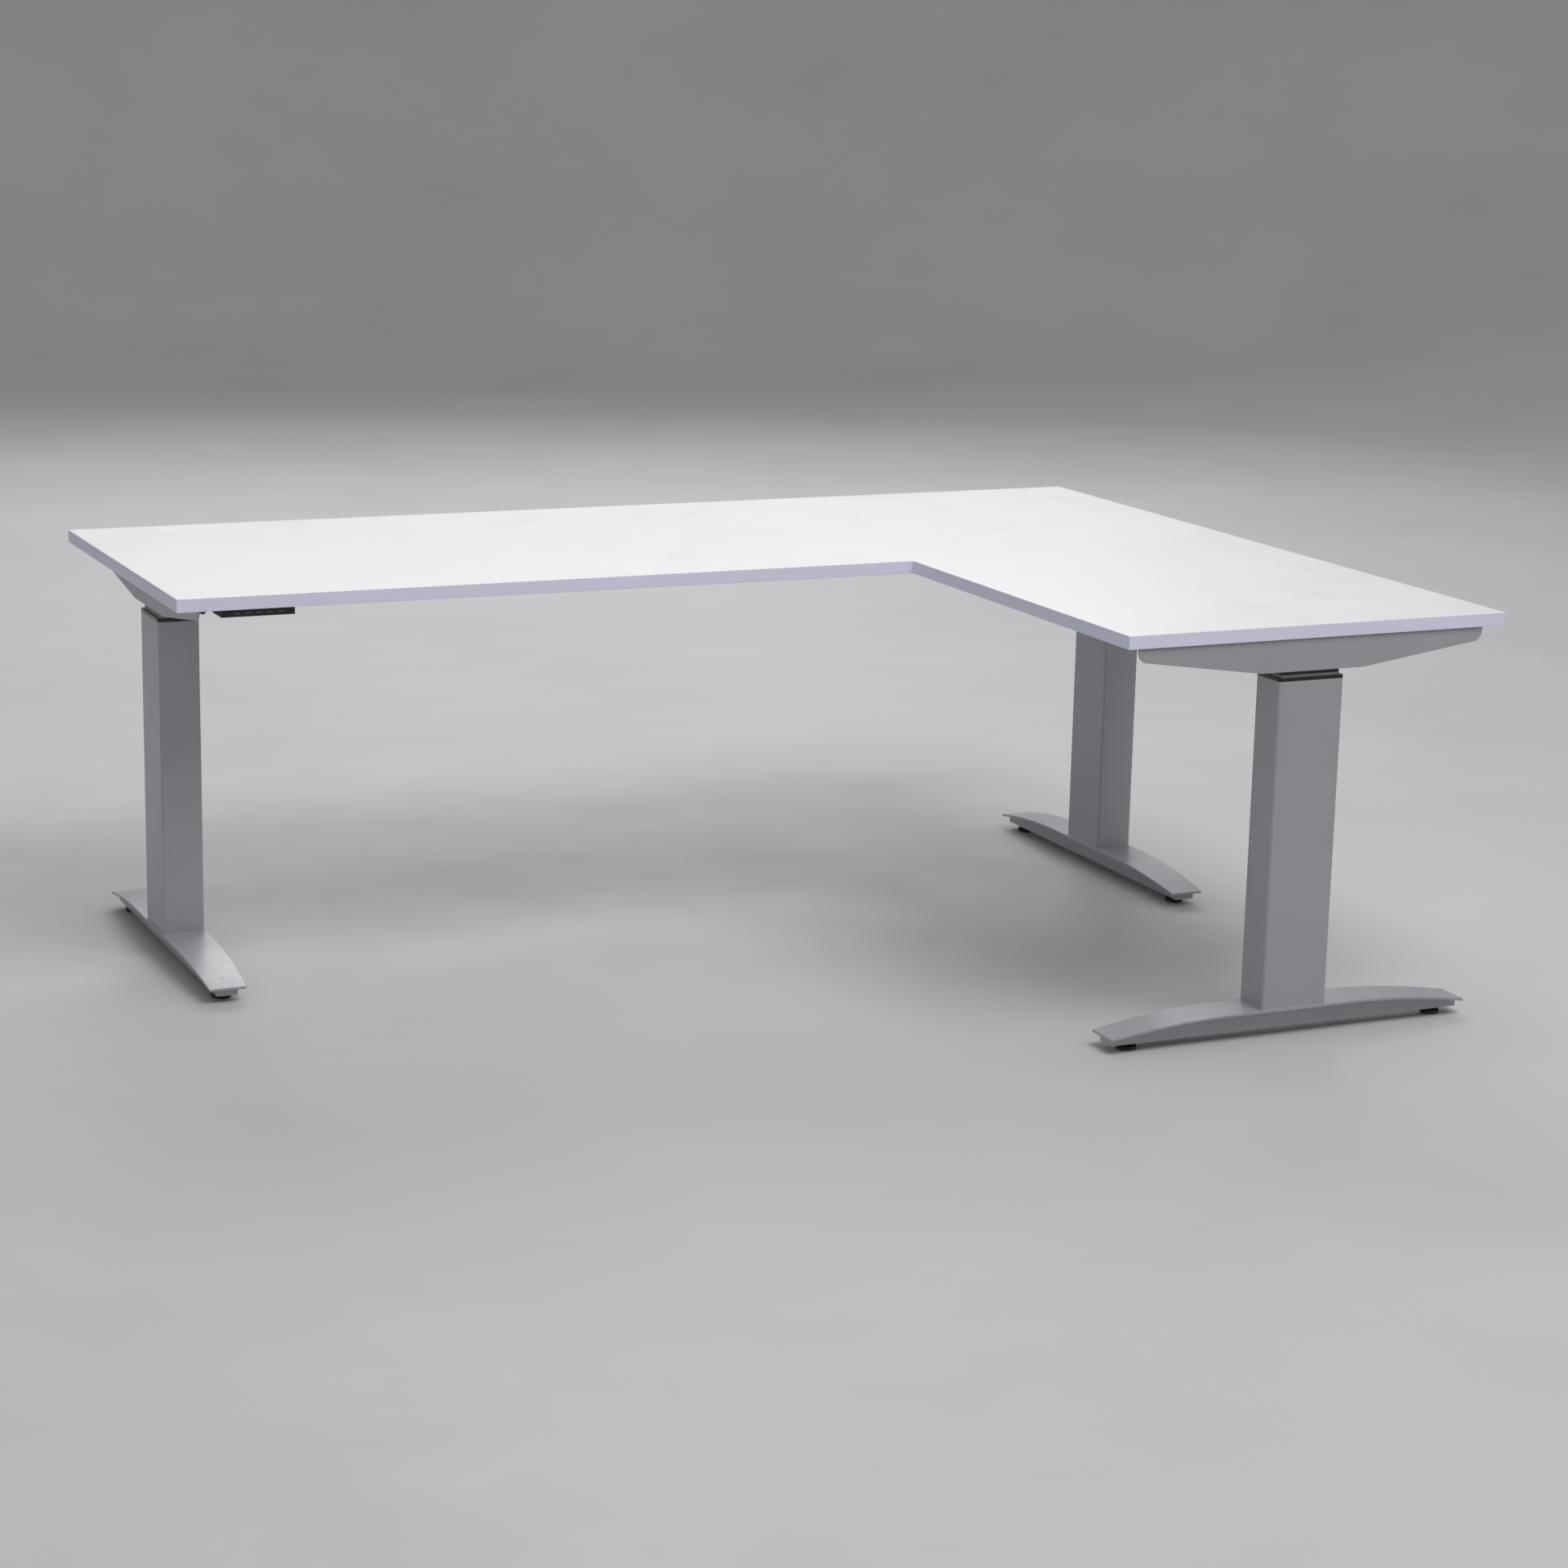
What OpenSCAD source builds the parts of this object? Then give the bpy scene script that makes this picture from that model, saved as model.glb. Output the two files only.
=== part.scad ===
// Height adjustable corner desk: an L-shaped top on three telescopic columns.
// Millimetres, +X along the main run, +Y to the wall, +Z up.
// Origin: on the floor, under the middle of the desk's box. Drawn with the columns closed.

/* [Desktop] */
// Length of the main run, along the wall
top_w = 2000; // [1700:10:2400]
// Depth of the whole L, from the wall edge to the front of the return
top_l = 1500; // [1450:10:1900]
// Depth of the main run
main_depth = 750; // [720:10:900]
// Width of the return
return_depth = 700; // [690:10:900]
// Thickness of the board
board_t = 22; // [18:1:30]
// Thickness of the edging tape
band_t = 2; // [1:0.5:3]
// Round on the outer arrises of the tape
arris_r = 1; // [0.5:0.25:1]
// Height of the desktop's surface with the columns closed
desk_h = 680; // [600:5:820]

/* [Leg places] */
// Left leg's centre from the left edge
leg_in_left = 80; // [60:1:120]
// Right leg's centre from the right edge
leg_in_right = 102; // [60:1:140]
// How far the main legs stand in front of the main run's middle
leg_off_main = -17; // [-40:1:20]
// How far the return leg stands to the left of the return's middle
leg_off_return = 10; // [0:1:30]
// Return leg's centre from the return's front edge
leg_in_return = 40; // [38:1:80]
// Distance of an arm's end from the main run's front edge
arm_in_main = 38; // [30:1:60]
// Distance of an arm's end from the return's inner edge
arm_in_return = 20; // [10:1:60]

/* [Columns] */
// Long side of the outer tube, along the foot
tube_l = 120; // [112:1:144]
// Short side of the outer tube
tube_w = 70; // [66:1:84]
// Wall of every tube
tube_wall = 2; // [1.5:0.25:2.5]
// Outer corner radius of every tube
tube_r = 5; // [4:0.5:6]
// How much narrower each stage is than the one around it
stage_step = 10; // [9:0.5:11]
// Running gap between a guide and the tube that slides on it
slide_gap = 0.3; // [0.2:0.05:0.4]
// Length of tube that stays inside the next one at full height
stage_overlap = 216; // [150:1:260]
// Gap between an arm's flange and the outer tube's rim
rim_gap = 16; // [16:1:40]
// Height of a guide ring's collar
ring_h = 5.5; // [4:0.5:6]
// Length of a guide ring's skirt inside its tube
ring_skirt = 30; // [20:1:50]
// Length of the guide shoe on a tube's lower end
shoe_h = 40; // [25:1:60]
// Tube left showing above the outer ring
stage_show = 4; // [2:0.5:4]
// Thickness of the welded plate on a column's head
head_t = 6; // [4:0.5:8]

/* [Screw drive] */
// Diameter of the fixed screw that stands in the foot
base_screw_d = 12; // [10:0.5:13]
// Outer diameter of the turning hollow screw
hollow_d = 22; // [20:0.5:23]
// Diameter of the collars and flanges on the hollow screw
collar_d = 28; // [26:0.5:29]
// Outer diameter of the drive tube
drive_d = 38; // [37:0.5:40]
// Height of the lift nut at the foot of the inner tube
nut_h = 24; // [18:1:30]
// Diameter of the motor's can
motor_d = 42; // [38:0.5:43]
// Height of the motor's can
motor_h = 112; // [90:1:130]
// Diameter of the motor's output shaft
shaft_d = 10; // [8:0.5:12]

/* [Feet] */
// Length of a foot, tip to tip
foot_l = 670; // [600:5:690]
// Ledge of the foot's upper face on each side of the column
foot_ledge = 3; // [2:0.5:10]
// How far each long side of the plate draws in towards the tips
foot_sag = 7; // [4:0.5:12]
// Length of the plate's level middle
foot_level = 200; // [180:5:260]
// Height of the tips' upper face
foot_tip_z = 27; // [24:1:32]
// Rise of the bowed plate from tips to middle
foot_rise = 21; // [16:1:30]
// Thickness of the bowed plate
foot_plate_t = 4; // [3:0.5:5]
// Width of the channel under the plate
channel_w = 36; // [34:1:44]
// Wall of the channel
channel_wall = 3; // [2:0.5:3]
// Distance of the channel's end walls from the tips
channel_in = 7; // [4:0.5:12]
// Gap under the channel
foot_clear = 12; // [9:0.5:13]
// Distance of the levelling glides from the tips
glide_in = 45; // [35:1:60]
// Diameter of a glide
glide_d = 32; // [24:1:34]
// Travel of a levelling glide
glide_travel = 8; // [6:0.5:9]

/* [Arms and beams] */
// Width of the arm's top plate at the column
arm_w = 66; // [60:1:74]
// Width of the arm's top plate near its ends
arm_tip_w = 27; // [24:1:30]
// Depth of the arm's flange at the column
arm_drop = 53; // [46:1:60]
// Depth of the arm's flange near its ends
arm_end_drop = 24; // [18:1:30]
// Length of the flange's deepest, level stretch
arm_flat = 190; // [160:5:220]
// Round at the flange's lower ends
arm_end_r = 18; // [10:1:18]
// Sheet thickness of the arms
sheet_t = 3; // [2:0.5:4]
// Width of a beam
beam_w = 60; // [50:1:70]
// Height of a beam
beam_h = 30; // [25:1:40]
// Length of the arm's tongue that holds a beam
tongue_l = 90; // [80:1:120]

/* [Fasteners] */
// Shank diameter of the board screws
screw_d = 4.5; // [3.5:0.5:5]
// Depth of the board screws in the board
screw_in = 14; // [10:0.5:15]
// Diameter of the frame bolts
bolt_d = 6; // [5:1:8]
// Diameter of the foot bolts
foot_bolt_d = 8; // [6:1:10]

/* [Control box] */
// Length of the control box
box_l = 260; // [220:5:320]
// Depth of the control box
box_w = 110; // [96:1:140]
// Height of the control box
box_h = 42; // [38:1:60]
// Wall of the control box
box_wall = 2.5; // [2:0.25:3]
// Control box's centre from the desk's middle, along the wall
box_x = -200; // [-400:10:0]
// Control box's centre from the wall edge
box_in = 150; // [120:5:200]

/* [Handset] */
// Width of the handset
set_w = 122; // [110:1:140]
// Depth of the handset
set_l = 60; // [50:1:64]
// Height of the handset
set_h = 12; // [11:0.5:16]
// Wall of the handset's case
set_wall = 1.6; // [1.2:0.1:2]
// Gap between the left arm and the handset
set_gap = 2; // [2:1:200]
// Handset's face from the main run's front edge
set_in_front = 4; // [1:1:20]
// Width of a key
key_w = 12; // [10:0.5:14]
// Height of a key
key_h = 5; // [4:0.25:6]
// Distance between keys
key_pitch = 18; // [16:0.5:20]
// How far a key stands out of the face
key_proud = 1.2; // [1:0.1:2]
// Travel of a key
key_travel = 0.6; // [0.4:0.1:0.8]
// Gap round a key in its window
key_gap = 0.3; // [0.2:0.05:0.4]

/* [Cable clip] */
// Radius of the half-round cable clip
clip_r = 5.5; // [5:0.5:8]
// Radius of the cable's way through the clip
clip_bore_r = 3; // [2.5:0.25:3.5]
// Length of the clip
clip_l = 12; // [8:1:20]
// Clip's centre from the desk's left edge
clip_in_left = 44; // [40:1:60]
// Clip's front from the main run's front edge
clip_in_front = 8; // [4:1:20]

/* [Hidden] */
$fn = 48;
BIG_FN = 720;
TINY = 0.01;
// How far a cutter reaches past a face, and a welded piece into its neighbour
OVER = 1;
STEEL = "#86858b";
BLACK = "#1d1d20";
BRIGHT = "#b9bcc2";
GREEN = "#2f6b3a";
WHITE = "#ececec";
TAPE = "#c2c2d2";
ENAMEL = "#4a4d52";
NYLON = "#e8e4d8";

// Heights, from the floor up
seat_z = foot_tip_z + foot_rise;
board_z = desk_h - board_t;
arm_z = board_z - sheet_t;
head_z = arm_z - head_t;
rim_z = board_z - arm_drop - rim_gap;
base_plate_t = 6;
base_top = seat_z + base_plate_t;
mid_gap = 6;
mid_bot = base_top + mid_gap;
mid_plate_t = 8;
mid_plate_top = mid_bot + mid_plate_t;
inner_gap = 4;
inner_bot = mid_plate_top + inner_gap;
mid_top = rim_z + ring_h + stage_show;

// Plates welded into a tube's end stay this far inside its outer face
plate_in = 0.5;

// Travel of one stage; the top travels twice as far
stage_travel = rim_z - seat_z - stage_overlap;

// Screw drive, from the floor up
play = 0.5;
flange_h = 3;
collar_h = 15;
screw_bot = mid_bot - play - flange_h;
screw_spare = 4;
screw_top = inner_bot + nut_h + stage_travel + screw_spare + collar_h;
thread_l = 26;
base_screw_spare = 16;
base_screw_top = mid_bot + thread_l + stage_travel + base_screw_spare;
bore_gap = 0.3;
key_rib_w = 4;
key_rib_h = 1.5;
drive_gap = 2;
drive_bot = inner_bot + nut_h + drive_gap;
drive_spare = 10;
drive_top = screw_top + drive_spare;
hub_h = 12;
motor_bot = drive_top + hub_h + drive_gap;
shaft_in = 16;
shaft_end_gap = 2;
mount_h = 12;
can_bot = motor_bot + mount_h;
can_top = can_bot + motor_h;
cap_d = 30;
cap_h = 14;

// Plan places of the legs: left, right, return; local +X runs along the foot
main_front = top_l / 2 - main_depth;
return_left = top_w / 2 - return_depth;
leg_y = main_front + main_depth / 2 + leg_off_main;
return_leg_x = top_w / 2 - return_depth / 2 - leg_off_return;
LEG_X = [-top_w / 2 + leg_in_left, top_w / 2 - leg_in_right, return_leg_x];
LEG_Y = [leg_y, leg_y, -top_l / 2 + leg_in_return];
LEG_TURN = [-90, 90, 0];

// Feet
foot_w = tube_w + 2 * foot_ledge;
foot_run = (foot_l - foot_level) / 2;
foot_r = (pow(foot_run, 2) + pow(foot_rise, 2)) / (2 * foot_rise);
plan_r = (pow(foot_l / 2, 2) + pow(foot_sag, 2)) / (2 * foot_sag);
seat_pad = 2;
seat_t = foot_plate_t + seat_pad;
glide_x = foot_l / 2 - glide_in;
boss_up = 1;
glide_top = foot_clear + boss_up;
disc_h = 6;
disc_bevel = 1.5;
hex_d = 17;
stud_d = 8;
boss_d = 18;
function plate_z(x) = seat_z - foot_r + sqrt(pow(foot_r, 2) - pow(x - foot_level / 2, 2));
stud_gap = 1.5;
stud_end_gap = 0.5;
stud_top = plate_z(glide_x) - foot_plate_t - stud_gap;
foot_bolt_in_l = 20;
foot_bolt_x = tube_l / 2 - foot_bolt_in_l;
foot_bolt_head_d = foot_bolt_d + 5;
foot_bolt_gap = 0.5;
foot_bolt_y = channel_w / 2 - channel_wall - foot_bolt_head_d / 2 - foot_bolt_gap;

// Arms
arm_l_main = 2 * (leg_y - main_front - arm_in_main);
arm_l_return = 2 * (return_leg_x - return_left - arm_in_return);
ARM_L = [arm_l_main, arm_l_main, arm_l_return];
flange_out = 1;
flange_y = -(tube_w / 2 + flange_out);
plate_y = flange_y + arm_w;
bend_r = 4;
head_wing = 24;
head_l = tube_l + 2 * head_wing;
head_bolt_in = 14;
head_bolt_x = head_l / 2 - head_bolt_in;
head_bolt_y = 18;
head_in = 3;
head_w = tube_w - 2 * head_in;
beam_gap = 4;
beam_y = head_w / 2 + beam_gap;
tongue_end = plate_y + tongue_l;
tongue_bolt_in = [20, 55];
tongue_bolts = [for (d = tongue_bolt_in) tongue_end - d];
beam_wall = 2;
beam_r = 3;
beam_z = arm_z - beam_h;
end_plate_t = 4;
end_plate_w = 130;
end_bolt_x = 50;
frame_bolt_l = beam_h + sheet_t;
BOLT_HEAD_H = 6;
BOLT_HEAD_D = 10;
SCREW_HEAD_H = 2.5;
SCREW_HEAD_D = 9;
arm_screw_in = 16;
arm_screw_y = flange_y + arm_screw_in;
ARM_SCREW_SHARES = [0.2, 0.34, 0.47];
PLATE_WIDE_SHARE = 0.25;
PLATE_NARROW_SHARE = 0.375;
SOCKET_DEEP = 0.6;
SOCKET_WIDE = 0.9;
function arm_screws(l) = [for (side = [-1, 1], share = ARM_SCREW_SHARES) side * share * l];

// Control box
box_y = top_l / 2 - box_in;
box_z = board_z - box_h;
box_r = 6;
ear_l = 14;
ear_w = 24;
ear_r = 3;
ear_x = box_l / 2 + ear_l / 2;
ear_y = box_w / 2 - ear_w / 2;
cover_t = 3;
cover_lip_t = 2;
cover_lip_h = 2.5;
cover_gap = 0.2;
pcb_t = 1.6;
pcb_drop = 18;
pcb_z = board_z - pcb_drop;
pcb_in = 8;
post_d = 7;
post_in = 16;
POST_SHARES = [-0.55, 0.75];
part_h = 14;
transformer = [-box_l / 2 + 30, -2, 50, 38];
capacitor_d = 16;
capacitor_x = -10;
capacitor_y = 20;
capacitor_pitch = 22;
heat_sink = [box_l / 2 - 80, 12, 50, 4];
inlet_w = 28;
inlet_h = 21;
inlet_depth = 22;
inlet_rim = 2;
inlet_back = 4;
inlet_in = 40;
inlet_x = -box_l / 2 + inlet_in;
inlet_flange_t = 3;
inlet_flange_out = 1.5;
inlet_z = box_z + cover_t + cover_lip_h + inlet_flange_out + play;
inlet_room = 3;
pin_pitch = 7;
pin_t = 2;
pin_w = 4;
pin_l = 12;
pin_rise = 2.5;
earth_rise = 0.5;
socket_w = 18;
socket_h = 10;
socket_l = 16;
socket_wall = 1.5;
SOCKET_COUNT = 4;
socket_first = 90;
socket_last = 40;
socket_pitch = (box_l - socket_first - socket_last) / (SOCKET_COUNT - 1);
SOCKET_X = [for (i = [0:SOCKET_COUNT - 1]) -box_l / 2 + socket_first + i * socket_pitch];

// Handset
set_r = 3;
set_x = LEG_X[0] + flange_y + arm_tip_w + set_gap + set_w / 2;
set_y = main_front + set_in_front;
set_z = board_z - set_h;
set_ear_l = 16;
set_ear_w = 14;
set_ear_in = 20;
set_ear_x = set_w / 2 - set_ear_in;
set_ear_out = 5;
set_ear_y = set_l + set_ear_out;
KEY_NAMES = ["key_down", "key_up", "key_1", "key_2", "key_3"];
KEY_COUNT = len(KEY_NAMES);
key_z = set_z + set_h / 2;
set_floor = set_z + set_wall;
key_flange = 1;
key_flange_t = 1.2;
key_stem = 4;
stem_r = 1.5;
pcb_set_t = 1.6;
switch_t = 0.8;
switch_w = 5;
switch_h = 4;
set_pcb_y = set_wall + key_flange_t + key_stem + key_travel + switch_t;
lead_w = 12;
lead_h = 4.6;
lead_in = 12;
lead_up = 1;
lead_wall = 1;
lead_back = 2;

// ---------- shared shapes ----------

// Rectangle with round corners, centred
module round_rect(w, d, r) {
  square([w - 2 * r, d], center = true);
  square([w, d - 2 * r], center = true);
  for (x = [-1, 1], y = [-1, 1])
    translate([x * (w / 2 - r), y * (d / 2 - r)])
      circle(r);
}

// Upright block with round corners, from z0 to z1
module column_block(w, d, r, z0, z1) {
  translate([0, 0, z0])
    linear_extrude(z1 - z0)
      round_rect(w, d, r);
}

// Upright tube with round corners; the bore overshoots nothing, so it stays open at both ends
module column_tube(w, d, r, wall, z0, z1) {
  translate([0, 0, z0])
    linear_extrude(z1 - z0)
      difference() {
        round_rect(w, d, r);
        round_rect(w - 2 * wall, d - 2 * wall, r - wall);
      }
}

// Round bar from z0 to z1
module bar(d, z0, z1, x = 0, y = 0) {
  translate([x, y, z0])
    cylinder(h = z1 - z0, d = d);
}

// Box given by its low and high corners
module block(low, high) {
  translate(low)
    cube([high.x - low.x, high.y - low.y, high.z - low.z]);
}

// Puts a leg's part in place: 0 left, 1 right, 2 return
module at_leg(i) {
  translate([LEG_X[i], LEG_Y[i], 0])
    rotate([0, 0, LEG_TURN[i]])
      children();
}

// Socket head bolt pointing up: head from z0 - head_h to z0, shank to z1
module bolt_up(d, head_d, head_h, z0, z1, x, y) {
  difference() {
    union() {
      bar(head_d, z0 - head_h, z0, x, y);
      bar(d, z0, z1, x, y);
    }
    translate([x, y, z0 - head_h - OVER])
      cylinder(h = head_h * SOCKET_DEEP + OVER, d = d * SOCKET_WIDE, $fn = 6);
  }
}

// ---------- desktop ----------

// L-shaped plan of the desktop, drawn in by some distance
module desk_plan(inset) {
  polygon([
    [-top_w / 2 + inset, top_l / 2 - inset],
    [-top_w / 2 + inset, main_front + inset],
    [return_left + inset, main_front + inset],
    [return_left + inset, -top_l / 2 + inset],
    [top_w / 2 - inset, -top_l / 2 + inset],
    [top_w / 2 - inset, top_l / 2 - inset]
  ]);
}

module desktop_board() color(WHITE) difference() {
  translate([0, 0, board_z])
    linear_extrude(board_t)
      desk_plan(band_t);
  screw_places()
    bar(screw_d, board_z - OVER, board_z + screw_in);
}

// Strip of edging: a straight run with its two outer arrises rounded, outer face at +Y
module edge_strip(l) {
  rotate([90, 0, 90])
    linear_extrude(l)
      difference() {
        square([band_t, board_t]);
        for (z = [0, 1])
          translate([band_t - arris_r, z == 0 ? 0 : board_t - arris_r])
            difference() {
              translate([0, z == 0 ? -TINY : 0])
                square([arris_r + TINY, arris_r + TINY]);
              translate([0, z == 0 ? arris_r : 0])
                circle(arris_r);
            }
      }
}

// Places a strip from a start point, turned so that its outer face looks outwards
module strip_at(x, y, turn, l) {
  translate([x, y, board_z])
    rotate([0, 0, turn])
      translate([0, -band_t, 0])
        edge_strip(l);
}

module edge_banding() color(TAPE) {
  strip_at(-top_w / 2, top_l / 2, 0, top_w);
  strip_at(top_w / 2, top_l / 2 - band_t, -90, top_l - 2 * band_t);
  strip_at(top_w / 2, -top_l / 2, 180, return_depth);
  strip_at(return_left, -top_l / 2 + band_t, 90, top_l - main_depth);
  strip_at(return_left, main_front, 180, top_w - return_depth - band_t);
  strip_at(-top_w / 2, main_front, 90, main_depth - band_t);
}

// ---------- arms and beams ----------

// Side view of an arm: level at the column, sloping up to rounded ends
module arm_side(l) {
  half = l / 2;
  polygon([
    [-half, 0],
    [-half, -arm_end_drop + arm_end_r],
    [-half + arm_end_r, -arm_end_drop],
    [-arm_flat / 2, -arm_drop],
    [arm_flat / 2, -arm_drop],
    [half - arm_end_r, -arm_end_drop],
    [half, -arm_end_drop + arm_end_r],
    [half, 0]
  ]);
  for (x = [-1, 1])
    translate([x * (half - arm_end_r), -arm_end_drop + arm_end_r])
      intersection() {
        circle(arm_end_r);
        translate([0, -arm_end_r / 2])
          square([2 * arm_end_r, arm_end_r], center = true);
      }
}

// End view of an arm: a sheet bent down along one edge
module arm_section() {
  difference() {
    translate([flange_y, -arm_drop])
      square([arm_w, arm_drop]);
    translate([flange_y + sheet_t, -arm_drop - OVER])
      square([arm_w, arm_drop + OVER - sheet_t]);
    translate([flange_y, -bend_r])
      difference() {
        square([bend_r, bend_r]);
        translate([bend_r, 0])
          circle(bend_r);
      }
  }
}

// Plan of an arm: wide at the column, drawn in to a narrow strip along the flange
module arm_plan(l) {
  tip_y = flange_y + arm_tip_w;
  polygon([
    [-l / 2, flange_y],
    [l / 2, flange_y],
    [l / 2, tip_y],
    [l * PLATE_NARROW_SHARE, tip_y],
    [l * PLATE_WIDE_SHARE, plate_y],
    [-l * PLATE_WIDE_SHARE, plate_y],
    [-l * PLATE_NARROW_SHARE, tip_y],
    [-l / 2, tip_y]
  ]);
}

// Arm of some length: a bent sheet cut to its side view and plan, with a tongue for the beam
module arm(l) color(STEEL) difference() {
  union() {
    translate([0, 0, board_z])
      intersection() {
        rotate([90, 0, 90])
          translate([0, 0, -l / 2])
            linear_extrude(l)
              arm_section();
        rotate([90, 0, 0])
          translate([0, 0, -arm_w])
            linear_extrude(2 * arm_w)
              arm_side(l);
        translate([0, 0, -arm_drop])
          linear_extrude(arm_drop)
            arm_plan(l);
      }
    block([-beam_w / 2, plate_y - OVER, arm_z], [beam_w / 2, tongue_end, board_z]);
  }
  for (x = arm_screws(l))
    bar(screw_d, arm_z - OVER, board_z + OVER, x, arm_screw_y);
  for (x = [-1, 1], y = [-1, 1])
    bar(bolt_d, arm_z - OVER, board_z + OVER, x * head_bolt_x, y * head_bolt_y);
  for (y = tongue_bolts)
    bar(bolt_d, arm_z - OVER, board_z + OVER, 0, y);
}
module arm_left() at_leg(0) arm(ARM_L[0]);
module arm_right() at_leg(1) arm(ARM_L[1]);
module arm_return() at_leg(2) arm(ARM_L[2]);

// Rectangular tube lying along X between two places
module beam_tube(x0, x1) {
  translate([x0, 0, beam_z + beam_h / 2])
    rotate([90, 0, 90])
      linear_extrude(x1 - x0)
        difference() {
          round_rect(beam_w, beam_h, beam_r);
          round_rect(beam_w - 2 * beam_wall, beam_h - 2 * beam_wall, beam_r - beam_wall);
        }
}

module main_beam() color(STEEL) difference() {
  translate([0, leg_y, 0])
    beam_tube(LEG_X[0] + beam_y, LEG_X[1] - beam_y);
  for (i = [0, 1])
    at_leg(i)
      for (y = tongue_bolts)
        bar(bolt_d, beam_z - OVER, arm_z + OVER, 0, y);
  joint_bolts()
    bar(bolt_d, -OVER, beam_wall + end_plate_t + OVER);
}

module return_beam() color(STEEL) difference() {
  union() {
    translate([LEG_X[2], LEG_Y[2], 0])
      rotate([0, 0, 90])
        beam_tube(beam_y, leg_y - beam_w / 2 - end_plate_t - LEG_Y[2]);
    joint_plate();
  }
  at_leg(2)
    for (y = tongue_bolts)
      bar(bolt_d, beam_z - OVER, arm_z + OVER, 0, y);
  joint_bolts()
    bar(bolt_d, -OVER, beam_wall + end_plate_t + OVER);
}

// Plate welded across the return beam's end, flat against the main beam
module joint_plate() {
  y1 = leg_y - beam_w / 2;
  block([LEG_X[2] - end_plate_w / 2, y1 - end_plate_t, beam_z],
        [LEG_X[2] + end_plate_w / 2, y1, arm_z]);
}

// Axes of the bolts that hold the joint plate, starting at its front face and pointing back
module joint_bolts() {
  for (x = [-1, 1])
    translate([LEG_X[2] + x * end_bolt_x, leg_y - beam_w / 2 - end_plate_t, beam_z + beam_h / 2])
      rotate([-90, 0, 0])
        children();
}

// ---------- columns ----------

in_l = tube_l - stage_step;
in_w = tube_w - stage_step;
core_l = in_l - stage_step;
core_w = in_w - stage_step;

// Block that fills the inner tube's bore from z0 to z1
module core_block(z0, z1) {
  column_block(core_l - 2 * tube_wall, core_w - 2 * tube_wall, tube_r - tube_wall, z0, z1);
}

module inner_tube() color(STEEL) difference() {
  union() {
    column_tube(core_l, core_w, tube_r, tube_wall, inner_bot, head_z);
    block([-head_l / 2, -head_w / 2, head_z], [head_l / 2, head_w / 2, arm_z]);
  }
  core_block(head_z - OVER, arm_z + OVER);
  for (x = [-1, 1], y = [-1, 1])
    bar(bolt_d, head_z - OVER, arm_z + OVER, x * head_bolt_x, y * head_bolt_y);
}
module inner_tube_left() at_leg(0) inner_tube();
module inner_tube_right() at_leg(1) inner_tube();
module inner_tube_return() at_leg(2) inner_tube();

module middle_tube() color(STEEL) difference() {
  union() {
    column_tube(in_l, in_w, tube_r, tube_wall, mid_bot, mid_top);
    column_block(in_l - 2 * plate_in, in_w - 2 * plate_in, tube_r - plate_in, mid_bot, mid_plate_top);
  }
  bar(hollow_d + 2 * bore_gap, mid_bot - OVER, mid_plate_top + OVER);
}
module middle_tube_left() at_leg(0) middle_tube();
module middle_tube_right() at_leg(1) middle_tube();
module middle_tube_return() at_leg(2) middle_tube();

module outer_tube() color(STEEL) difference() {
  union() {
    column_tube(tube_l, tube_w, tube_r, tube_wall, seat_z, rim_z);
    column_block(tube_l - 2 * plate_in, tube_w - 2 * plate_in, tube_r - plate_in, seat_z, base_top);
  }
  bar(base_screw_d, seat_z - OVER, base_top + OVER);
  for (x = [-1, 1], y = [-1, 1])
    bar(foot_bolt_d, seat_z - OVER, base_top + OVER, x * foot_bolt_x, y * foot_bolt_y);
}
module outer_tube_left() at_leg(0) outer_tube();
module outer_tube_right() at_leg(1) outer_tube();
module outer_tube_return() at_leg(2) outer_tube();

// Guide ring in the mouth of a tube w by d: a collar on the rim and a skirt inside
module guide_ring(w, d, z) {
  bore_w = w - stage_step + 2 * slide_gap;
  bore_d = d - stage_step + 2 * slide_gap;
  skirt_w = w - 2 * tube_wall;
  skirt_d = d - 2 * tube_wall;
  color(BLACK) difference() {
    union() {
      column_block(w, d, tube_r, z, z + ring_h);
      column_block(skirt_w, skirt_d, tube_r - tube_wall, z - ring_skirt, z + TINY);
    }
    column_block(bore_w, bore_d, tube_r + slide_gap, z - ring_skirt - OVER, z + ring_h + OVER);
  }
}
module outer_rings() for (i = [0:2]) at_leg(i) guide_ring(tube_l, tube_w, rim_z);
module middle_ring_left() at_leg(0) guide_ring(in_l, in_w, mid_top);
module middle_ring_right() at_leg(1) guide_ring(in_l, in_w, mid_top);
module middle_ring_return() at_leg(2) guide_ring(in_l, in_w, mid_top);

// Guide shoe round the lower end of a tube w by d, running in the tube outside it
module guide_shoe(w, d, z) {
  shoe_w = w + stage_step - 2 * tube_wall - 2 * slide_gap;
  shoe_d = d + stage_step - 2 * tube_wall - 2 * slide_gap;
  color(BLACK) difference() {
    column_block(shoe_w, shoe_d, tube_r - tube_wall - slide_gap, z, z + shoe_h);
    column_block(w, d, tube_r, z - OVER, z + shoe_h + OVER);
  }
}
module middle_shoe_left() at_leg(0) guide_shoe(in_l, in_w, mid_bot);
module middle_shoe_right() at_leg(1) guide_shoe(in_l, in_w, mid_bot);
module middle_shoe_return() at_leg(2) guide_shoe(in_l, in_w, mid_bot);
module inner_shoes() for (i = [0:2]) at_leg(i) guide_shoe(core_l, core_w, inner_bot);

// ---------- screw drive ----------

module base_screws() color(BRIGHT) for (i = [0:2]) at_leg(i)
  bar(base_screw_d, seat_z, base_screw_top);

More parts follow.
